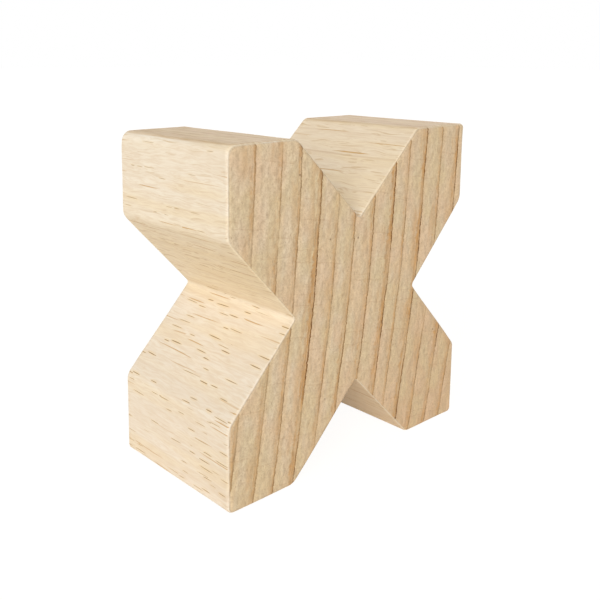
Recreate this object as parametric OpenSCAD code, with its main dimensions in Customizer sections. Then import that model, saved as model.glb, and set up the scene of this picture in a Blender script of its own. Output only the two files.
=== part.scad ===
// Wooden alphabet block in the form of the letter X.
// It is one solid piece, sawn off a length of planed moulding and sanded.
// Width runs along X, depth along Y and height along Z. The front face looks towards -Y.
// The origin lies on the table, under the middle of the block.

/* [Block] */
// Width over the two arms
block_w = 49.8; // [44:0.1:70]
// Height from the feet to the tips of the arms
block_h = 50; // [44:0.1:70]
// Depth, along the grain of the wood
block_d = 25; // [10:0.5:80]

/* [Notches] */
// Width of the top notch at its mouth
top_notch_w = 25.6; // [18:0.1:30]
// Depth of the top notch
top_notch_depth = 12.3; // [6:0.1:15]
// Width of the notch between the feet, at its mouth
foot_notch_w = 25.5; // [18:0.1:30]
// Depth of the notch between the feet
foot_notch_depth = 12.7; // [6:0.1:15]
// Height of the side notches at their mouths
side_notch_w = 25; // [18:0.1:28]
// Depth of the side notches
side_notch_depth = 12; // [6:0.1:14]

/* [Edges] */
// Radius of the corners that run along the depth
corner_r = 1.3; // [0.9:0.05:2.5]
// Radius of the sanded edges round the front and back faces
edge_r = 0.6; // [0.2:0.05:0.8]
// Radius at the root of each notch
root_r = 0.5; // [0.2:0.05:1]

/* [Hidden] */
$fn = 72;

// How far a cutting or filling shape runs past the surface that it meets
overrun = 2;
// How far a rounding's arc bites past tangent, so that it meets the flats in a clear line
bite = 0.01;

half_w = block_w / 2;
half_h = block_h / 2;
half_d = block_d / 2;
// Longer than any line across the face of the block
span = block_w + block_h;

// The four notches: the way each one opens, the distance from the middle of the block
// to its mouth, its width at the mouth and its depth
notches = [
    [90, half_h, top_notch_w, top_notch_depth],
    [-90, half_h, foot_notch_w, foot_notch_depth],
    [0, half_w, side_notch_w, side_notch_depth],
    [180, half_w, side_notch_w, side_notch_depth]
];
function mouth(notch) = notch[1];
function half_width(notch) = notch[2] / 2;
function depth(notch) = notch[3];

// Angle between the middle line of a notch and each of its flanks
function slope(notch) = atan2(half_width(notch), depth(notch));

module mirror_copy(axis) {
    children();
    mirror(axis)
        children();
}

// Moves to the root of a notch and turns so that the notch opens along +X
module at_root(notch) {
    rotate(notch[0])
        translate([mouth(notch) - depth(notch), 0, 0])
            children();
}

// Cross-section of a plank whose left edges are sanded, from zero to reach
module edged_section(reach) {
    translate([edge_r, -half_d])
        square([reach - edge_r, block_d]);
    translate([0, edge_r - half_d])
        square([reach, block_d - 2 * edge_r]);
    mirror_copy([0, 1])
        translate([edge_r, half_d - edge_r])
            circle(edge_r);
}

// Cross-section of a plank of width w with all four edges sanded, centred
module plank_section(w) {
    mirror_copy([1, 0])
        translate([-w / 2, 0])
            edged_section(w / 2 + edge_r);
}

// Upright post with sanded rims, which rounds a corner of the blank
module corner_post() {
    rotate_extrude()
        intersection() {
            translate([0, -half_d])
                square([corner_r, block_d]);
            mirror([1, 0])
                translate([-corner_r, 0])
                    edged_section(2 * corner_r);
        }
}

// The sanded blank before the notches, lying on its back
module blank() {
    rotate([90, 0, 0])
        linear_extrude(block_h - 2 * corner_r, center = true)
            plank_section(block_w);
    rotate([90, 0, 90])
        linear_extrude(block_w - 2 * corner_r, center = true)
            plank_section(block_h);
    mirror_copy([1, 0, 0])
        mirror_copy([0, 1, 0])
            translate([half_w - corner_r, half_h - corner_r, 0])
                corner_post();
}

// All the wood beside a notch: one wide plank from each flank outwards
module beside_notch(notch) {
    mirror_copy([0, 1, 0])
        rotate([90, 0, slope(notch) + 90])
            linear_extrude(2 * span, center = true)
                edged_section(span);
}

// What lies between a corner and the arc that rounds it. The corner is at zero and
// its edges leave at half_angle to each side of +X.
module corner_sliver(r, half_angle) {
    along = [cos(half_angle), sin(half_angle)];
    outward = [-sin(half_angle), cos(half_angle)];
    centre = [(r - bite) / sin(half_angle), 0];
    foot = (r - bite) / tan(half_angle) * along + overrun * outward;
    difference() {
        polygon([centre, foot, [-overrun / sin(half_angle), 0], [foot[0], -foot[1]]]);
        translate(centre)
            circle(r);
    }
}

// Shapes that round the two corners at the mouth of a notch
module mouth_slivers(notch) {
    mirror_copy([0, 1, 0])
        translate([depth(notch), half_width(notch), 0])
            rotate(135 + slope(notch) / 2)
                linear_extrude(block_d + 2 * overrun, center = true)
                    corner_sliver(corner_r, 45 + slope(notch) / 2);
}

// Wood that rounds the root of a notch, well clear of the sanded edges of the two faces
module root_sliver(notch) {
    linear_extrude(block_d - 3 * edge_r, center = true)
        corner_sliver(root_r, slope(notch));
}

// The finished block, lying on its back
module lying_block() {
    difference() {
        intersection() {
            blank();
            intersection_for(notch = notches)
                at_root(notch)
                    beside_notch(notch);
        }
        for (notch = notches)
            at_root(notch)
                mouth_slivers(notch);
    }
    for (notch = notches)
        at_root(notch)
            root_sliver(notch);
}

module letter_block() {
    color([0.86, 0.76, 0.62])
        translate([0, 0, half_h])
            rotate([90, 0, 0])
                lying_block();
}

letter_block();
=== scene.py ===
# %% [markdown]
# # A wooden letter block
# This lesson dresses one solid piece of beech: a block cut to the outline of the letter X.
# Such a block is sawn off a length of planed moulding, so its grain runs from the front face
# to the back face. The front and back show end grain with growth rings, and every other
# surface shows long grain with the short dark flecks that beech is known by.
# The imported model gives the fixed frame. Blender adds the sanded surface, the wood and the light.

# %% Load the frame
import math

import bpy
import numpy as np
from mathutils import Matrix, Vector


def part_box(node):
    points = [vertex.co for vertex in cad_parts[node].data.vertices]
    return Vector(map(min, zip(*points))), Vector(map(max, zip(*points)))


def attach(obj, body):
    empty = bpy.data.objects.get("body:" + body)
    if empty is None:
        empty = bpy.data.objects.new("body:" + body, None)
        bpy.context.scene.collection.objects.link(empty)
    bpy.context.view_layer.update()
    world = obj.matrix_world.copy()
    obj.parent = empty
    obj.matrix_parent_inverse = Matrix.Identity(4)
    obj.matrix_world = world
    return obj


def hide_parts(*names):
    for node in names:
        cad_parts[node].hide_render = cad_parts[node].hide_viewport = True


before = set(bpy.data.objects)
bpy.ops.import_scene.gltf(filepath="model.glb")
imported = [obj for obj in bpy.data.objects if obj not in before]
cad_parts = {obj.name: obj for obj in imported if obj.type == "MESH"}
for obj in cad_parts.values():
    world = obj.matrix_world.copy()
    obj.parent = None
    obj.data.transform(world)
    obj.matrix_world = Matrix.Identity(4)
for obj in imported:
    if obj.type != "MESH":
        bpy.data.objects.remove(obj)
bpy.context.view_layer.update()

# %% [markdown]
# ## The outline
# The real block gets its outline from a moulding cutter. It has three kinds of corner: four
# square ones, eight blunt ones where the arms meet the notches, and four roots between the arms.
# Sanding by hand then rounds each corner a little differently. Of the square ones, the one at
# the top left is the roundest. So each corner has a radius of its own.
# A Bevel modifier on a cut cube would round them all, but it gives uneven faces round a notch.
# Here the outline is worked out instead: a list of corners, each replaced by an arc.
# It runs clockwise as seen from the front, in millimetres, with height measured from the table.
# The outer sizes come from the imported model. The notches at the top, at the foot and at the
# sides each have their own mouth and depth.

# %% Sizes of the block, in millimetres
lowest, highest = [1000 * np.array(corner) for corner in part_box("letter_block")]
width, depth, height = (highest - lowest).round(3).tolist()
half_width, half_depth, middle = width / 2, depth / 2, height / 2
top_mouth, top_depth = 25.6, 12.3
foot_mouth, foot_depth = 25.5, 12.7
side_mouth, side_depth = 25.0, 12.0
print("block in mm:", width, "wide,", depth, "deep,", height, "high")

# %% Corners of the outline
across_up_radius = np.array([
    (-half_width, height, 1.4),
    (-top_mouth / 2, height, 2.3),
    (0, height - top_depth, 0.5),
    (top_mouth / 2, height, 1.7),
    (half_width, height, 0.75),
    (half_width, middle + side_mouth / 2, 2.3),
    (half_width - side_depth, middle, 0.5),
    (half_width, middle - side_mouth / 2, 1.3),
    (half_width, 0, 0.85),
    (foot_mouth / 2, 0, 1.9),
    (0, foot_depth, 0.5),
    (-foot_mouth / 2, 0, 2.3),
    (-half_width, 0, 0.95),
    (-half_width, middle - side_mouth / 2, 2.3),
    (side_depth - half_width, middle, 0.5),
    (-half_width, middle + side_mouth / 2, 2.3),
])
corners = across_up_radius[:, :2]
corner_radius = across_up_radius[:, 2]
print("corners:", len(corners), "with radii in mm:", sorted(set(corner_radius.tolist())))


# %% Round the corners
def unit(vectors):
    """Each vector divided by its own length."""
    return vectors / np.linalg.norm(vectors, axis=-1, keepdims=True)


def rounded_outline(points, radius, arc_steps, line_steps):
    """Closed line through the points, with an arc of the given radius at each one.
    An arc's centre lies on the corner's bisector, radius / sin(half the corner's angle) away.
    On the straight lines, the share walked is the mean of even steps and half a cosine wave,
    so the points lie closer together near the arcs.
    Returns the line's points, its outward directions and the distance walked along it."""
    back = unit(np.roll(points, 1, axis=0) - points)
    on = unit(np.roll(points, -1, axis=0) - points)
    half_angle = np.arccos((back * on).sum(axis=1)) / 2
    centre = points + unit(back + on) * (radius / np.sin(half_angle))[:, None]
    start = points + back * (radius / np.tan(half_angle))[:, None]
    end = points + on * (radius / np.tan(half_angle))[:, None]
    first = np.arctan2(start[:, 1] - centre[:, 1], start[:, 0] - centre[:, 0])
    turn = np.sign(on[:, 0] * back[:, 1] - on[:, 1] * back[:, 0])
    sweep = turn * (np.pi - 2 * half_angle)
    angle = first[:, None] + sweep[:, None] * np.linspace(0, 1, arc_steps + 1)
    spoke = np.stack([np.cos(angle), np.sin(angle)], axis=2)
    arcs = centre[:, None] + radius[:, None, None] * spoke
    outward = -spoke * turn[:, None, None]
    even = np.arange(1, line_steps) / line_steps
    share = (even + (1 - np.cos(np.pi * even)) / 2) / 2
    goal = np.roll(start, -1, axis=0)
    lines = end[:, None] + (goal - end)[:, None] * share[None, :, None]
    line_out = np.repeat(outward[:, -1:], line_steps - 1, axis=1)
    path = np.concatenate([arcs, lines], axis=1).reshape(-1, 2)
    facing = np.concatenate([outward, line_out], axis=1).reshape(-1, 2)
    steps = np.linalg.norm(np.roll(path, -1, axis=0) - path, axis=1)
    return path, facing, np.cumsum(steps) - steps


outline, outward, walked = rounded_outline(corners, corner_radius, arc_steps=9, line_steps=28)
print("outline points:", len(outline), "length in mm:", round(float(walked[-1]), 1))

# %% [markdown]
# ## The sanded rims
# After sawing, the rims of the front and back faces are softened by hand on a sanding belt.
# So their radius isn't quite even: it is smaller deep in a notch, which the belt hardly
# reaches, and largest at the top left corner. A Bevel modifier would make it the same all
# round. Here the radius is a function of the place on the outline, from a few waves that
# close up on themselves and a bell curve round some of the corners.


# %% Radius of the rims round the outline
outer_rim, notch_loss, wave_size = 0.58, 0.13, 0.03
waves_round_the_block = (3, 7, 16)
notch_starts, notch_blend = 1.6, 0.4
top_left, top_right, right_foot_corner = 0, 4, 8
roots = [2, 6, 10, 14]
extra_rim = np.zeros(len(corners))
extra_rim[top_left] = 0.42
extra_rim[top_right] = -0.14
extra_rim[right_foot_corner] = -0.08
extra_rim[roots] = -0.08
extra_reach = 1.6


def near_corners(amount, reach):
    """Sum over the corners of amount * exp(-(distance / reach) ** 2), a bell curve round each."""
    gap = np.linalg.norm(outline[:, None] - corners[None], axis=2)
    return (amount * np.exp(-((gap / reach) ** 2))).sum(axis=1)


def rim_radius(seed):
    """0.58 along the outer sides and 0.13 less inside the notches, plus three waves and the
    extra at the corners. How far a point is inside the block passes through a logistic curve,
    1 / (1 + exp(-(distance - 1.6) / 0.4)), which goes from 0 outside to 1 inside."""
    rng = np.random.default_rng(seed)
    round_trip = 2 * np.pi * walked / walked[-1]
    waves = sum(
        wave_size * np.sin(number * round_trip + rng.uniform(0, 2 * np.pi))
        for number in waves_round_the_block
    )
    from_side = half_width - np.abs(outline[:, 0])
    from_end = middle - np.abs(outline[:, 1] - middle)
    into_block = np.minimum(from_side, from_end)
    inside = 1 / (1 + np.exp(-(into_block - notch_starts) / notch_blend))
    return outer_rim + waves - notch_loss * inside + near_corners(extra_rim, extra_reach)


front_rim = rim_radius(4)
back_rim = rim_radius(9)
print("front rim radius from", front_rim.min().round(2), "to", front_rim.max().round(2), "mm")

# %% [markdown]
# ## The surface
# The whole block is one closed grid. One direction follows the outline. The other starts at
# a pole in the middle of the front face, spreads to the rim, turns round it, runs back along
# the grain, turns round the back rim and closes in on a second pole.
# The outline is seen in full from its middle point, so a shrunken copy of it always stays
# inside the wood, and the face can be filled with such copies. A narrow row on each side of
# a rim keeps the shading of the flat parts flat.
# Sanded wood is never quite flat, so each surface also dips inwards by a few hundredths of a
# millimetre. The dips fade out towards the rims, which keeps the edges straight.

# %% Hollows and rims
rim_steps, face_steps, wall_steps = 7, 24, 34
keep_flat, close_to_rim = 0.12, 0.005


def dip(across, along, size=0.012):
    """Shallow hollows, from 0 to 4 times size: two crossed waves, each lifted above zero.
    The waves are 18 to 38 mm long, so a face has only a few hollows."""
    slow = np.sin(across / 5.3 + 1.1) * np.cos(along / 6.1)
    slanting = np.sin(across / 2.9 - along / 3.7)
    return size * (2 + slow + slanting)


def rim_rows(radius, side):
    """Quarter circle from the wall to the face. At angle t the wall moves in by
    radius * (1 - cos t) and the rim reaches radius * sin t towards the face."""
    t = np.linspace(0, np.pi / 2, rim_steps + 1)[:, None]
    inset = radius * (1 - np.cos(t))
    y = side * (half_depth - radius * (1 - np.sin(t)))
    return inset, y


print("deepest hollow in mm:", round(float(dip(*np.mgrid[-25:25:0.5, 0:50:0.5]).max()), 3))


# %% Rows of the faces and the wall
def face_rows(radius, side):
    """Copies of the inner edge of the rim, shrunk towards the middle of the face. The hollows
    fade out as 1 - share ** 12, where share is 1 at the rim."""
    edge = outline - outward * (radius + keep_flat)[:, None]
    heart = np.array([0.0, middle])
    share = np.arange(face_steps, 0, -1)[:, None, None] / face_steps
    spread = heart + (edge - heart) * share
    fade = 1 - share[..., 0] ** 12
    y = side * (half_depth - fade * dip(spread[..., 0], spread[..., 1]))
    return np.stack([spread[..., 0], y, spread[..., 1]], axis=2)


def wall_points(inset, y):
    """Points of the outline moved inwards by inset and set at depth y."""
    flat = outline[None] - outward[None] * inset[..., None]
    return np.stack([flat[..., 0], np.broadcast_to(y, flat.shape[:2]), flat[..., 1]], axis=2)


def wall_rows():
    """Straight rows from the front rim to the back rim, with the hollows of hand sanding. The
    first and last rows lie close to the rims. The hollows fade in and out over a twelfth of
    the way."""
    share = np.linspace(0, 1, wall_steps + 1)[:, None]
    share[0], share[-1] = close_to_rim, 1 - close_to_rim
    y = share * (half_depth - back_rim) - (1 - share) * (half_depth - front_rim)
    fade = np.clip(np.minimum(share, 1 - share) * 12, 0, 1)
    return wall_points(fade * dip(walked[None] * np.ones_like(y), y), y)


print("rows of a face:", face_steps, "of a rim:", rim_steps + 1, "of the wall:", wall_steps + 1)

# %% Stack the rows from pole to pole
front_inset, front_y = rim_rows(front_rim, -1)
back_inset, back_y = rim_rows(back_rim, 1)
grid = np.concatenate([
    face_rows(front_rim, -1)[::-1],
    wall_points(front_inset, front_y)[::-1],
    wall_rows(),
    wall_points(back_inset, back_y),
    face_rows(back_rim, 1),
])
print("grid:", grid.shape[0], "rows of", grid.shape[1], "points")


# %% Join the grid into one closed mesh
def closed_mesh(name, points, first_pole, last_pole):
    """Quads between neighbouring rows, closed round the outline, and a fan of triangles at each
    pole. The points are in millimetres and the mesh is in metres."""
    count, around = points.shape[:2]
    vertices = np.concatenate([points.reshape(-1, 3), [first_pole, last_pole]]) / 1000
    row = np.arange(count - 1)[:, None] * around
    here = np.arange(around)[None]
    after = (here + 1) % around
    quads = np.stack([row + here, row + after, row + around + after, row + around + here], axis=2)
    here, after = here[0], after[0]
    pole = count * around
    first_fan = np.stack([np.full(around, pole), after, here], axis=1)
    last_row = pole - around
    last_fan = np.stack([np.full(around, pole + 1), last_row + here, last_row + after], axis=1)
    faces = quads.reshape(-1, 4).tolist() + first_fan.tolist() + last_fan.tolist()
    mesh = bpy.data.meshes.new(name)
    mesh.from_pydata(vertices.tolist(), [], faces)
    mesh.polygons.foreach_set("use_smooth", np.ones(len(mesh.polygons), bool))
    mesh.update()
    return mesh


def volume_of(mesh):
    """Sum over the triangles of a . (b x c) / 6, which is positive when the faces point outwards."""
    mesh.calc_loop_triangles()
    corner = np.zeros(len(mesh.loop_triangles) * 3, np.int32)
    mesh.loop_triangles.foreach_get("vertices", corner)
    place = np.zeros(len(mesh.vertices) * 3, np.float32)
    mesh.vertices.foreach_get("co", place)
    a, b, c = place.reshape(-1, 3)[corner.reshape(-1, 3)].transpose(1, 0, 2).astype(float)
    return float((a * np.cross(b, c)).sum() / 6)


pole_dip = 0.02
front_pole = (0, pole_dip - half_depth, middle)
back_pole = (0, half_depth - pole_dip, middle)
block_mesh = closed_mesh("x_block", grid, front_pole, back_pole)
if volume_of(block_mesh) < 0:
    block_mesh.flip_normals()
block = bpy.data.objects.new("x_block", block_mesh)
bpy.context.scene.collection.objects.link(block)
print("triangles:", len(block_mesh.loop_triangles), "volume in mm3:", round(volume_of(block_mesh) * 1e9))

# %% [markdown]
# ## Tools for the wood
# Bought wood textures are pictures, which smear where a surface turns. This wood is a solid
# pattern instead: a colour for each point in space, as in a real log, so the rings on the
# front run on into the sides. A few helpers keep its node trees short. The first ones make
# nodes and link them.


# %% Helpers that make nodes
def put(tree, target, value):
    """Link a socket, or set a plain value."""
    if isinstance(value, bpy.types.NodeSocket):
        tree.links.new(value, target)
    else:
        target.default_value = value


def add(tree, kind, inputs=None, **settings):
    """A node with its settings and inputs. Inputs are named, or counted from 0."""
    made = tree.nodes.new(kind)
    for name, value in settings.items():
        setattr(made, name, value)
    for name, value in (inputs or {}).items():
        put(tree, made.inputs[name], value)
    return made


def new_group(name, inputs, outputs):
    """An empty node group, and the sockets of its input and output nodes. Each input has a
    name and a kind, such as "Vector". The outputs are numbers."""
    tree = bpy.data.node_groups.new(name, "ShaderNodeTree")
    for label, kind in inputs:
        tree.interface.new_socket(label, in_out="INPUT", socket_type="NodeSocket" + kind)
    for label in outputs:
        tree.interface.new_socket(label, in_out="OUTPUT", socket_type="NodeSocketFloat")
    return tree, tree.nodes.new("NodeGroupInput").outputs, tree.nodes.new("NodeGroupOutput").inputs


# %% [markdown]
# The next helpers are sums and products. Blender's Map Range node does most of the work: with
# its smooth step it turns a random value into a mask that is 0 on one side, 1 on the other and
# soft in between.


# %% Helpers that calculate
def calc(tree, operation, *values):
    """Result of a Math node."""
    return add(tree, "ShaderNodeMath", dict(enumerate(values)), operation=operation).outputs[0]


def times(tree, first, *others):
    """Product of all the values."""
    for other in others:
        first = calc(tree, "MULTIPLY", first, other)
    return first


def linear(tree, value, factor, start):
    """value * factor + start."""
    return calc(tree, "MULTIPLY_ADD", value, factor, start)


def centred(tree, value):
    """A value from 0 to 1, moved to lie round 0."""
    return calc(tree, "SUBTRACT", value, 0.5)


def ease(tree, value, low, high, to_low=0.0, to_high=1.0):
    """to_low below low and to_high above high, with a smooth step between them."""
    inputs = {"Value": value, "From Min": low, "From Max": high, "To Min": to_low, "To Max": to_high}
    return add(tree, "ShaderNodeMapRange", inputs, interpolation_type="SMOOTHSTEP").outputs["Result"]


def vector_calc(tree, operation, *values):
    """Result of a Vector Math node."""
    return add(tree, "ShaderNodeVectorMath", dict(enumerate(values)), operation=operation).outputs[0]


def split(tree, vector):
    """The parts of a vector, called "X", "Y" and "Z"."""
    return add(tree, "ShaderNodeSeparateXYZ", {0: vector}).outputs


def join(tree, x=0.0, y=0.0, z=0.0):
    """A vector from its three parts."""
    return add(tree, "ShaderNodeCombineXYZ", {0: x, 1: y, 2: z}).outputs[0]


# %% [markdown]
# The last helpers make patterns and colours. Wood is much longer along the grain than across
# it, so each pattern takes three frequencies, in waves or cells per millimetre: across, along
# the grain and down. A low one along the grain stretches the pattern that way.


# %% Helpers for patterns and colours
def noise(tree, place, frequencies, detail=2.0, roughness=0.5, output="Fac"):
    """Soft random values round 0.5."""
    stretched = vector_calc(tree, "MULTIPLY", place, frequencies)
    inputs = {"Vector": stretched, "Scale": 1.0, "Detail": detail, "Roughness": roughness}
    return add(tree, "ShaderNodeTexNoise", inputs).outputs[output]


def wander(tree, place, frequencies, detail, reach):
    """The place, moved softly by up to about half of reach each way."""
    push = noise(tree, place, frequencies, detail, output="Color")
    push = vector_calc(tree, "SUBTRACT", push, (0.5, 0.5, 0.5))
    return vector_calc(tree, "ADD", place, vector_calc(tree, "MULTIPLY", push, reach))


def cells(tree, place, scale=1.0, **settings):
    """Space divided into cells round random points, and three random numbers for each cell,
    called "Red", "Green" and "Blue"."""
    made = add(tree, "ShaderNodeTexVoronoi", {"Vector": place, "Scale": scale}, **settings).outputs
    return made, add(tree, "ShaderNodeSeparateColor", {0: made["Color"]}).outputs


def tint(tree, mask, base, over):
    """The base colour, with the other colour over it where the mask is 1."""
    made = add(tree, "ShaderNodeMix", data_type="RGBA")
    for index, value in ((0, mask), (6, base), (7, over)):
        put(tree, made.inputs[index], value)
    return made.outputs[2]


def paint(red, green, blue):
    """A colour as seen on a screen, 0 to 255, turned into the linear values that Blender takes."""
    seen = np.array([red, green, blue]) / 255
    linear_light = np.where(seen <= 0.04045, seen / 12.92, ((seen + 0.055) / 1.055) ** 2.4)
    return (*linear_light.tolist(), 1.0)


def coats(tree, base, layers):
    """The base with coats of colour over it, the first one lowest. Each has a mask and a colour."""
    for mask, colour in layers:
        base = tint(tree, mask, base, paint(*colour))
    return base


print("cream of the long grain, as linear values:", np.round(paint(244, 234, 218), 3).tolist())

# %% [markdown]
# ## Growth rings
# Each year's growth is pale at first and darkens to a thin brown line in autumn, where the
# next year starts pale again. On this block the middle of the tree lies far to the left, so
# the rings are nearly upright and lean a little more towards the foot of the block.
# A ring's place is measured along the top edge. A curve turns that place into a ring number,
# with years of uneven width, as weather gives them. The part after the decimal point says
# how far through the year a point is, and it drops to 0 exactly at the brown line.

# %% Ring places along the top edge, in mm from the left, and how dark each year ends
ring_edges = [
    -0.6, 4.7, 9.4, 13.0, 17.1, 20.8, 24.5, 28.7,
    33.2, 36.2, 40.2, 44.2, 48.6, 52.7, 57.0, 61.0,
]
ring_strength = [
    0.6, 0.45, 0.46, 0.55, 1.0, 0.55, 0.7, 0.7,
    1.0, 0.55, 1.0, 0.6, 0.85, 0.6, 0.5, 0.5,
]
curve_start, curve_end = -3.0, ring_edges[-1]
years = len(ring_edges)
print("mean ring width in mm:", round(float(np.diff(ring_edges).mean()), 2))

# %% [markdown]
# First the group finds where a point's ring meets the top edge. Going down, a ring moves to
# the left by its lean, which grows faster the further down it gets, and a little more for
# rings further right. Real rings also sway slowly and are finely jagged, so two noises push
# the place to and fro, one slow and one quick. Straight stripes would be simpler, but they
# would look printed.

# %% The ring group: follow a ring up to the top edge
rings, given, result = new_group(
    "growth rings", [("Place", "Vector")],
    ["Through the Year", "Brown Line", "Late Wood", "Growth Lines"],
)
place = given["Place"]
slow_sway, quick_sway = 0.75, 0.51
lean_at_first, lean_later = 1.25, 3.67
lean_share, lean_to_right = 0.971, 0.00696

wavy = noise(rings, place, (0.06, 0.012, 0.07))
ragged = noise(rings, place, (0.8, 0.04, 1.6), detail=3, roughness=0.7)
sway = times(rings, centred(rings, wavy), slow_sway)
sway = linear(rings, centred(rings, ragged), quick_sway, sway)
axes = split(rings, place)
fall = calc(rings, "DIVIDE", axes["Z"], height)
lean = times(rings, fall, linear(rings, fall, lean_later, lean_at_first))
at_top = linear(rings, lean, lean_share, calc(rings, "ADD", axes["X"], sway))
at_top = calc(rings, "DIVIDE", at_top, linear(rings, lean, -lean_to_right, 1.0))
whole_lean = (lean_at_first + lean_later) * (lean_share + lean_to_right * half_width)
print("from top to foot, the middle ring moves left by", round(whole_lean, 1), "mm")

# %% Turn the place into a year
along_top = calc(rings, "SUBTRACT", at_top, curve_start)
along_top = calc(rings, "DIVIDE", along_top, curve_end - curve_start)
year_curve = add(rings, "ShaderNodeFloatCurve", {"Value": along_top})
points = year_curve.mapping.curves[0].points
points[0].location = (0.0, 0.0)
points[1].location = (1.0, 1.0)
for number, edge in enumerate(ring_edges[:-1]):
    points.new((edge - curve_start) / (curve_end - curve_start), (number + 1) / years)
for point in points:
    point.handle_type = "VECTOR"
year_curve.mapping.update()
age = year_curve.outputs[0]
through = calc(rings, "FRACT", times(rings, age, years))

dark_years = add(rings, "ShaderNodeValToRGB", {"Fac": age})
ramp = dark_years.color_ramp
ramp.interpolation = "CONSTANT"
while len(ramp.elements) < years:
    ramp.elements.new(0.5)
for number, grey in enumerate(ring_strength):
    ramp.elements[number].position = number / years
    ramp.elements[number].color = (grey, grey, grey, 1)
strength = dark_years.outputs["Color"]
print("points of the year curve:", len(points), "steps of the strength ramp:", len(ramp.elements))

# %% [markdown]
# The brown line is about the last twentieth of a year, a little less in a weak year, and
# a trace of it spills over the start of the next year. Two noises make it fade and break up
# along its way, because no ring is equally dark all over.

# %% The brown line
patchy = noise(rings, place, (0.25, 0.02, 0.11), detail=1)
broken = noise(rings, place, (0.6, 0.05, 1.3), roughness=0.6)
uneven = times(
    rings,
    ease(rings, patchy, 0.3, 0.65, 0.5, 1.2),
    ease(rings, broken, 0.3, 0.6, 0.5, 1.05),
)
line_starts = linear(rings, strength, -0.035, 0.95)
line = ease(rings, through, line_starts, 0.98)
spilled = ease(rings, through, 0.0, 0.02, 0.6, 0.0)
line = times(rings, calc(rings, "MAXIMUM", line, spilled), strength, uneven)
print("nodes so far:", len(rings.nodes))

# %% [markdown]
# Before the line comes the late wood, a soft orange shade. It starts earlier in strong years
# and in the lower half of the block. Fine growth lines run through it, parallel to the rings,
# so these noises are measured along the top edge too and bend with the rings. Now and then a
# false line, a darker patch or some brown threads show where a summer was dry or cold.

# %% The late wood
with_rings = join(rings, at_top, axes["Y"], axes["Z"])
growth_lines = noise(rings, with_rings, (2.4, 0.06, 0.14), roughness=0.65)
drift = noise(rings, with_rings, (0.2, 0.02, 0.1))
false_place = linear(rings, drift, 0.2, 0.71)
from_false = calc(rings, "ABSOLUTE", calc(rings, "SUBTRACT", through, false_place))
false_line = ease(rings, from_false, 0.035, 0.0)
false_line = times(rings, false_line, ease(rings, broken, 0.42, 0.62, 0.1, 0.8))
patch = ease(rings, noise(rings, with_rings, (0.55, 0.03, 0.13)), 0.48, 0.62, 0.0, 0.5)
patch = times(rings, patch, ease(rings, through, 0.3, 0.7))
threads = ease(rings, noise(rings, with_rings, (6.0, 0.1, 0.35), detail=1), 0.55, 0.66)
threads = times(rings, threads, ease(rings, through, 0.55, 0.9, 0.0, 0.3))

late_starts = linear(rings, strength, -0.14, ease(rings, fall, 0.5, 0.15, 0.8, 0.86))
late_starts = linear(rings, centred(rings, broken), 0.4, late_starts)
late_is_full = calc(rings, "ADD", late_starts, 0.16)
late = ease(rings, through, late_starts, late_is_full, 0.0, 0.95)
late = times(rings, late, ease(rings, growth_lines, 0.38, 0.55, 0.3, 1.1))
late = calc(rings, "MAXIMUM", calc(rings, "MAXIMUM", late, false_line), patch)
late = times(rings, late, linear(rings, strength, 0.8, 0.2))
late = times(rings, late, ease(rings, patchy, 0.3, 0.65, 0.6, 1.1))
line = calc(rings, "MAXIMUM", line, times(rings, threads, strength))
for number, value in enumerate((through, line, late, growth_lines)):
    put(rings, result[number], value)
print("nodes in the ring group:", len(rings.nodes))

# %% [markdown]
# ## Ray flecks
# Rays are thin ribbons of soft cells that run outwards from the middle of the tree. Beech
# has large ones. Cut across, on the sides of the block, they show as brown dashes along the
# grain, a few millimetres long and a tenth of a millimetre or two thick. On end grain they
# are faint lines that cross the rings at right angles. Painted dashes would have to be laid
# on each surface by itself. Here each ray is a thin sliver of space round one random point:
# long across the rings, a few millimetres along the grain, where it tapers to both ends, and
# very thin in height. One formula then gives the right mark on every surface, whichever way
# it cuts the wood. A golden halo lies round each one, where the fibres bend round the ray.

# %% The ray group
rays, given, result = new_group("ray flecks", [
    ("Place", "Vector"), ("Spacing", "Vector"), ("Half Size", "Vector"),
    ("Fewest", "Float"), ("Slope", "Float"),
], ["Fleck", "Halo"])
place, spacing, fewest = given["Place"], given["Spacing"], given["Fewest"]
down = times(rays, split(rays, place)["X"], given["Slope"])
bent = wander(rays, place, (0.4, 0.06, 0.4), 1.0, (0.0, 0.0, 0.8))
bent = vector_calc(rays, "SUBTRACT", bent, join(rays, z=down))
cell, dice = cells(rays, vector_calc(rays, "DIVIDE", bent, spacing))
heart = vector_calc(rays, "MULTIPLY", cell["Position"], spacing)
gap = vector_calc(rays, "SUBTRACT", bent, heart)
longer = ease(rays, dice["Red"], 0.0, 1.0, 0.65, 1.5)
thicker = ease(rays, dice["Green"], 0.0, 1.0, 0.8, 1.3)
own_size = vector_calc(rays, "MULTIPLY", given["Half Size"], join(rays, 1.0, longer, thicker))
share = vector_calc(rays, "DIVIDE", gap, own_size)
share = split(rays, vector_calc(rays, "ABSOLUTE", share))
taper = calc(rays, "POWER", share["Y"], 3.0)
shown = ease(rays, dice["Blue"], fewest, calc(rays, "ADD", fewest, 0.25))
shown = times(rays, shown, ease(rays, share["X"], 1.0, 0.8))
needle = ease(rays, calc(rays, "ADD", share["Z"], taper), 1.0, 0.4)
halo = ease(rays, linear(rays, share["Z"], 0.2, times(rays, taper, 0.6)), 1.0, 0.0)
put(rays, result["Fleck"], times(rays, needle, shown))
put(rays, result["Halo"], times(rays, halo, shown))
print("nodes in the ray group:", len(rays.nodes))

# %% [markdown]
# ## Fibres
# Between the flecks, long grain isn't plain. Hair-thin fibres catch the light, streaks and
# softer golden smears follow them, and the thin ones wander a little. All are noise that is
# at least ten times longer along the grain than across it. Cut across by the saw, the same
# kind of noise gives end grain its fine mottle, its lumps and its large faint blotches.

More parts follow.
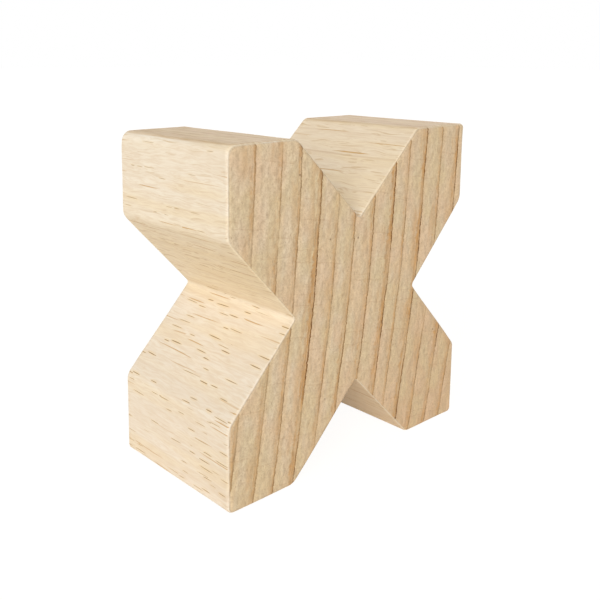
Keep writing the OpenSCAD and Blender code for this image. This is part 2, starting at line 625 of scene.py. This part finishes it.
# %% The fibre group: long marks and mottle
fibres, given, result = new_group("fibres", [("Place", "Vector")], [
    "Fine", "Mottle", "Lumps", "Blotches", "Streaks", "Hairs", "Smears", "Pores", "Specks",
])
place = given["Place"]
waving = wander(fibres, place, (1.0, 0.3, 1.0), 0.0, (0.8, 0.0, 0.8))
fine = noise(fibres, waving, (4.0, 0.3, 4.0), roughness=0.6)
streaks = noise(fibres, waving, (1.5, 0.07, 1.5), detail=3, roughness=0.6)
hairs = ease(fibres, noise(fibres, waving, (3.4, 0.11, 3.8), detail=1), 0.58, 0.72)
smears = noise(fibres, place, (0.3, 0.03, 0.35), detail=1)
mottle = noise(fibres, place, (1.2, 0.1, 1.0), detail=3, roughness=0.65)
lumps = noise(fibres, place, (0.95, 0.06, 0.8), detail=1)
blotches = noise(fibres, place, (0.34, 0.05, 0.17), detail=0)
print("nodes so far:", len(fibres.nodes))

# %% [markdown]
# Pores are the open ends of the tubes that carried water up the tree. Specks are rarer and
# darker, and only a few show on each face. Both are dots: space is divided into cells, and
# some of the cells, picked by their random number, get a dot in the middle. The cells of the
# specks are flat, so a speck runs straight through the block and shows at both ends.

# %% The fibre group: pores and specks
pore_cell, pore_dice = cells(fibres, vector_calc(fibres, "MULTIPLY", place, (3.4, 0.5, 1.5)))
pores = ease(fibres, pore_cell["Distance"], 0.35, 0.1)
pores = times(fibres, pores, ease(fibres, pore_dice["Red"], 0.6, 1.0))
axes = split(fibres, place)
on_front = join(fibres, axes["X"], axes["Z"])
speck_cell, speck_dice = cells(fibres, on_front, 0.16, voronoi_dimensions="2D")
specks = ease(fibres, speck_cell["Distance"], 0.036, 0.014)
specks = times(fibres, specks, ease(fibres, speck_dice["Red"], 0.88, 0.94))
values = (fine, mottle, lumps, blotches, streaks, hairs, smears, pores, specks)
for number, value in enumerate(values):
    put(fibres, result[number], value)
print("patterns in the fibre group:", len(values))

# %% [markdown]
# ## The beech
# The wood is bare and sanded, with no oil or varnish, so one Principled BSDF is enough. One
# noise over a plain colour would look like card. Here each pattern lays a thin coat of colour
# over the ones before it, and the coat's mask says where it is and how strong.
# The material reads the place inside the block in millimetres, with x from the left edge and
# z down from the top. The direction that the surface faces tells end grain from long grain.
# It also finds the flat tips of the arms, which lie along the rays.

# %% Place and direction in the beech
beech = bpy.data.materials.new("sanded beech")
beech.use_nodes = True
tree = beech.node_tree
shader = tree.nodes["Principled BSDF"]
where = add(tree, "ShaderNodeTexCoord").outputs
place = add(tree, "ShaderNodeMapping", {
    "Vector": where["Object"], "Location": (half_width, 0, height), "Scale": (1000, 1000, -1000),
}).outputs[0]
axes = split(tree, place)
facing = split(tree, vector_calc(tree, "ABSOLUTE", where["Normal"]))
end_grain = ease(tree, facing["Y"], 0.64, 0.93)
on_side = ease(tree, facing["Y"], 0.7, 0.25)
along_rays = ease(tree, facing["Z"], 0.75, 1.0)
upper = ease(tree, axes["Z"], 26.0, 20.0)
to_right = ease(tree, axes["X"], 10.0, 45.0)
print("material nodes so far:", len(tree.nodes))

# %% [markdown]
# The ray group is placed three times: for the brown flecks of the sides, which are fewer in
# the upper half, for rare golden needles that are longer, and for the faint rays of end
# grain. Those slope a little, because rays run at right angles to the rings. One group with
# three sets of values is less to look after than three copies of its nodes.

# %% The patterns at their own sizes
ring = add(tree, "ShaderNodeGroup", {"Place": place}, node_tree=rings).outputs
fibre = add(tree, "ShaderNodeGroup", {"Place": place}, node_tree=fibres).outputs
fleck = add(tree, "ShaderNodeGroup", {
    "Place": place, "Spacing": (12.0, 3.5, 1.2), "Half Size": (7.0, 1.2, 0.052),
    "Fewest": linear(tree, upper, 0.45, 0.25),
}, node_tree=rays).outputs
gold = add(tree, "ShaderNodeGroup", {
    "Place": place, "Spacing": (7.0, 10.0, 1.5), "Half Size": (3.5, 3.6, 0.075),
    "Fewest": 0.5,
}, node_tree=rays).outputs
ray = add(tree, "ShaderNodeGroup", {
    "Place": place, "Spacing": (9.0, 3.0, 0.9), "Half Size": (3.0, 1.2, 0.1),
    "Fewest": 0.42, "Slope": 0.16,
}, node_tree=rays).outputs
print("pattern groups:", [node.node_tree.name for node in tree.nodes if node.type == "GROUP"])

# %% [markdown]
# ## Colour of the long grain
# Long grain is a pale cream, but a block is never one even colour. It is lighter in the upper
# half and browner to the right. The upper flank of the left notch, which faces down and to the
# left, is painted paler and warmer: a painted highlight for the light that the floor throws up
# onto it. The sides of the right foot, which face down or away from the lamp, are painted
# darker and browner: painted shade. The flat tips are the darkest, partly because they show the
# rays from the side and partly as painted shade for the weaker light that falls on them. A
# gradient over the whole block would be simpler, but it can't tell a tip from a flank, so each
# of these has a mask of its own.

# %% Long grain: shade from part to part
# Painted highlight: a paler, warmer colour on the upper flank of the left notch, which faces down and to
# the left. It stands in for the light that the floor throws up onto it.
flank_middle = 19.0
off_flank = calc(tree, "ABSOLUTE", calc(tree, "SUBTRACT", axes["Z"], flank_middle))
painted_bounce_on_left_flank = times(tree, ease(tree, off_flank, 9.0, 4.0), ease(tree, axes["X"], 14.0, 11.0))
# Mask of the right foot's sides, low and to the right, away from the front and back faces. It carries
# painted shade, a darker browner colour where these sides face down or away from the lamp, and it also
# makes the streaks and hairs stronger there.
right_foot_shade_and_grain = times(
    tree,
    ease(tree, axes["Z"], 35.0, 39.0),
    ease(tree, axes["X"], 22.0, 26.0),
    ease(tree, facing["Y"], 0.5, 0.25),
)
side = tint(tree, upper, paint(244, 234, 218), paint(248, 239, 222))
side = coats(tree, side, [
    # Partly painted shade: the flat tips are browner for the rays they show from the side, and also to
    # stand in for the weaker light that falls on them.
    (along_rays, (235, 212, 180)),
    (times(tree, to_right, along_rays, 0.65), (222, 192, 157)),
    (times(tree, to_right, linear(tree, along_rays, -0.7, 0.7)), (237, 219, 190)),
    # painted highlight for the floor's light on the left notch's upper flank
    (times(tree, painted_bounce_on_left_flank, 0.85), (255, 241, 212)),
])
print("material nodes so far:", len(tree.nodes))

# %% [markdown]
# The growth rings run through the wood from front to back, so the flat tips show them as
# bands and lines. The other sides lie more along the rings, and there they hardly show. Then
# come the golden smears, the growth lines, the streaks, which are strongest on the tips and
# the right foot, the fine fibres and the painted shade of the right foot: a darker, browner
# colour on its sides, which face down or away from the lamp.

# %% Long grain: rings and fibres
banded = linear(tree, along_rays, 0.75, 0.08)
ringed = linear(tree, along_rays, 0.5, 0.3)
smeared = linear(tree, upper, 0.1, 0.35)
lined = linear(tree, along_rays, 0.75, 0.12)
streaky = linear(tree, along_rays, 0.7, linear(tree, right_foot_shade_and_grain, 0.5, 0.06))
side = coats(tree, side, [
    (times(tree, ring["Late Wood"], banded), (216, 181, 131)),
    (times(tree, ring["Brown Line"], ringed), (180, 136, 80)),
    (ease(tree, fibre["Smears"], 0.45, 0.65, 0.0, smeared), (243, 224, 184)),
    (ease(tree, ring["Growth Lines"], 0.43, 0.68, 0.0, lined), (216, 188, 148)),
    (ease(tree, fibre["Streaks"], 0.46, 0.68, 0.0, streaky), (205, 173, 131)),
    (ease(tree, fibre["Fine"], 0.35, 0.7, 0.0, 0.5), (228, 208, 180)),
    # painted shade on the right foot's sides
    (times(tree, right_foot_shade_and_grain, 0.7), (236, 211, 174)),
])
print("material nodes so far:", len(tree.nodes))

# %% [markdown]
# Last come the marks that stand out. Brown hairs show most on the slanting and level sides
# of the upper half, and on the right foot. The flecks and needles fade on the flat tips,
# where a ray is cut along its length and leaves no dash, and the flecks are a little fainter
# in the upper half and to the right.

# %% Long grain: hairs, needles and flecks
slanting = ease(tree, facing["Z"], 0.3, 0.6, 0.2, 0.55)
hairy = linear(tree, upper, slanting, linear(tree, right_foot_shade_and_grain, 0.5, 0.1))
on_flanks = times(tree, on_side, linear(tree, along_rays, -0.8, 1.0))
fainter_right = ease(tree, axes["X"], 12.0, 20.0, 1.0, 0.6)
clear = times(tree, fainter_right, linear(tree, upper, -0.2, 1.0))
side = coats(tree, side, [
    (times(tree, fibre["Hairs"], hairy, on_side), (210, 182, 138)),
    (times(tree, gold["Fleck"], on_flanks, 0.8), (200, 156, 84)),
    (times(tree, fleck["Halo"], on_flanks, clear, 0.36), (246, 217, 158)),
    (times(tree, fleck["Fleck"], on_flanks, clear, 0.92), (152, 117, 70)),
])
print("material nodes so far:", len(tree.nodes))

# %% [markdown]
# ## Colour of the end grain
# End grain drinks more light than long grain, so it is a step greyer and darker. Its colour
# changes all through a year, which one mask couldn't show, so a colour ramp gives each year
# its golden start, its creamy middle and its tan end.

# %% End grain: colour through the year
year_shades = [
    (0.0, (241, 217, 180)), (0.12, (243, 220, 186)), (0.25, (239, 223, 196)),
    (0.45, (237, 221, 194)), (0.7, (234, 214, 181)), (1.0, (228, 205, 167)),
]
year_ramp = add(tree, "ShaderNodeValToRGB", {"Fac": ring["Through the Year"]})
ramp = year_ramp.color_ramp
while len(ramp.elements) < len(year_shades):
    ramp.elements.new(0.5)
for element, (position, colour) in zip(ramp.elements, year_shades):
    element.position = position
    element.color = paint(*colour)
print("stops of the year's ramp:", len(ramp.elements))

# %% [markdown]
# Over it lie wide shades, lighter at the top left and browner at the bottom right, then pink
# and olive blotches, golden smears, the late wood, the growth lines, the mottle and fibres,
# the pores, specks and rays. The brown lines come last, because nothing covers them on the
# real block.

# %% End grain: coats over it
across_down = calc(tree, "ADD", axes["X"], axes["Z"])
end = coats(tree, year_ramp.outputs["Color"], [
    (times(tree, to_right, 0.4), (226, 203, 172)),
    (ease(tree, across_down, 40.0, 10.0, 0.0, 0.35), (250, 231, 204)),
    (ease(tree, across_down, 48.0, 88.0, 0.0, 0.95), (221, 192, 156)),
    (ease(tree, fibre["Blotches"], 0.5, 0.68, 0.0, 0.55), (241, 212, 180)),
    (ease(tree, fibre["Blotches"], 0.5, 0.32, 0.0, 0.48), (232, 217, 178)),
    (ease(tree, fibre["Smears"], 0.42, 0.68, 0.0, 0.3), (236, 213, 168)),
    (ring["Late Wood"], (212, 163, 102)),
    (ease(tree, ring["Growth Lines"], 0.45, 0.75, 0.0, 0.15), (196, 164, 120)),
    (ease(tree, fibre["Mottle"], 0.35, 0.7, 0.0, 0.4), (208, 186, 154)),
    (ease(tree, fibre["Fine"], 0.35, 0.7, 0.0, 0.34), (194, 168, 136)),
    (times(tree, fibre["Pores"], 0.36), (150, 112, 74)),
    (times(tree, fibre["Specks"], 0.6), (120, 82, 56)),
    (times(tree, ray["Fleck"], 0.2), (184, 146, 104)),
    (times(tree, ring["Brown Line"], 0.95), (122, 78, 16)),
])
put(tree, shader.inputs["Base Color"], tint(tree, end_grain, side, end))
print("material nodes so far:", len(tree.nodes))

# %% [markdown]
# ## Roughness and relief
# Sanding leaves the wood dull, a little more so where the fibres are open. What relief there
# is can be felt but hardly seen: flecks and pores lie a few hundredths of a millimetre deep,
# and end grain is faintly lumpy. Such a relief would need millions of faces as geometry, so a
# Bump node gives it, from the same patterns as the colour.

# %% Roughness and relief
grit = tint(tree, end_grain, fibre["Streaks"], fibre["Fine"])
put(tree, shader.inputs["Roughness"], ease(tree, grit, 0.2, 0.8, 0.52, 0.68))
shader.inputs["Specular IOR Level"].default_value = 0.3

fleck_relief, pore_relief, lump_share, end_relief = -0.5, -0.6, 3.0, -3.5
relief_depth = 0.00004
relief = linear(tree, fleck["Fleck"], fleck_relief, fibre["Fine"])
relief = linear(tree, fibre["Pores"], pore_relief, relief)
lumpy = linear(tree, fibre["Lumps"], lump_share, fibre["Mottle"])
relief = linear(tree, times(tree, lumpy, end_grain), end_relief, relief)
bump = add(tree, "ShaderNodeBump", {"Strength": 0.6, "Distance": relief_depth, "Height": relief})
put(tree, shader.inputs["Normal"], bump.outputs[0])
print("relief in mm:", 1000 * relief_depth, "times the height")

# %% [markdown]
# ## The finished block
# The block is one solid piece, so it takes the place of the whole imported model, needs one
# material slot and rides on the root, which stays still. Arms made as pieces of their own
# would show seams that the real block doesn't have.

# %% Dress the block and put it in its place
block.data.materials.append(beech)
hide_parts("letter_block")
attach(block, "root")
print("material nodes:", len(tree.nodes))

# %% [markdown]
# ## Floor and light
# The block stands on a pale floor in front of white. A large soft lamp shines from the left
# and a little from the front, so the left sides are the brightest, the front is a step
# darker, and the top a little darker again. A weak second lamp comes from behind on the
# right, so the sides that face away don't go flat. The floor throws light back up into the
# notches. The camera sees the floor and the world as white, with a faint shadow, while the
# block is lit by their plain colours. A white backdrop made of geometry would have done as
# well, but it would also have tinted the block and hidden it from behind.


# %% The floor
def sees_white(tree):
    """1 for camera, glossy and transmission rays, which see the white studio."""
    path = add(tree, "ShaderNodeLightPath").outputs
    either = calc(tree, "MAXIMUM", path["Is Camera Ray"], path["Is Glossy Ray"])
    return calc(tree, "MAXIMUM", either, path["Is Transmission Ray"])


reach = 3.0
floor_colour, white = (0.93, 0.86, 0.77, 1), (1, 1, 1, 1)
glow_strength, glow_share = 1.15, 0.8
floor_corners = [(-reach, -reach, 0), (reach, -reach, 0), (reach, reach, 0), (-reach, reach, 0)]
floor_mesh = bpy.data.meshes.new("floor")
floor_mesh.from_pydata(floor_corners, [], [(0, 1, 2, 3)])
floor = bpy.data.objects.new("floor", floor_mesh)
bpy.context.scene.collection.objects.link(floor)

white_floor = bpy.data.materials.new("white floor")
white_floor.use_nodes = True
tree = white_floor.node_tree
tree.nodes.remove(tree.nodes["Principled BSDF"])
matte = add(tree, "ShaderNodeBsdfDiffuse", {"Color": floor_colour}).outputs[0]
glow = add(tree, "ShaderNodeEmission", {"Color": white, "Strength": glow_strength}).outputs[0]
seen_as_glow = times(tree, sees_white(tree), glow_share)
both = add(tree, "ShaderNodeMixShader", {0: seen_as_glow, 1: matte, 2: glow}).outputs[0]
put(tree, tree.nodes["Material Output"].inputs["Surface"], both)
floor_mesh.materials.append(white_floor)
print("floor reaches", reach, "m each way")

# %% The world
ambient = (0.415, 0.386, 0.348, 1)
world = bpy.data.worlds.new("studio")
world.use_nodes = True
bpy.context.scene.world = world
tree = world.node_tree
background = tree.nodes["Background"].inputs
put(tree, background["Color"], tint(tree, sees_white(tree), ambient, white))
background["Strength"].default_value = 1.0
print("light from all round, as linear values:", ambient[:3])


# %% The lamps
def soft_sun(name, strength, heading, height_angle, spread):
    """A sun lamp with its angles in degrees. The heading goes from straight ahead towards the
    left, and the spread is the lamp's apparent size."""
    lamp = bpy.data.lights.new(name, "SUN")
    lamp.energy = strength
    lamp.angle = math.radians(spread)
    holder = bpy.data.objects.new(name, lamp)
    holder.rotation_euler = (math.radians(90 - height_angle), 0, -math.radians(heading))
    bpy.context.scene.collection.objects.link(holder)
    print(name, "at", heading, "degrees, strength", strength)


soft_sun("key light", strength=1.98, heading=55, height_angle=22, spread=50)
soft_sun("fill light", strength=0.6, heading=-125, height_angle=4, spread=40)

# %% [markdown]
# ## Camera
# The camera stands to the left of the block, a little above it, and looks slightly down.
# Its place and lens were worked out from the straight edges of the block in the photograph,
# because a camera placed by eye never puts them all in place at once. A shift moves the
# picture without turning the camera, so upright edges stay as upright as they are there.

# %% Camera
camera = bpy.data.objects.new("camera", bpy.data.cameras.new("camera"))
camera.location = (-0.087503, -0.089015, 0.061057)
camera.rotation_euler = [math.radians(angle) for angle in (79.728, -0.139, -40.989)]
camera.data.lens = 48.34
camera.data.shift_x = 0.08
camera.data.shift_y = -0.1667
camera.data.clip_start = 0.005
bpy.context.scene.collection.objects.link(camera)
bpy.context.scene.camera = camera
bpy.context.scene.view_settings.view_transform = "Standard"
print("camera to the block's middle in mm:", round(math.dist(1000 * camera.location, (0, 0, middle))))
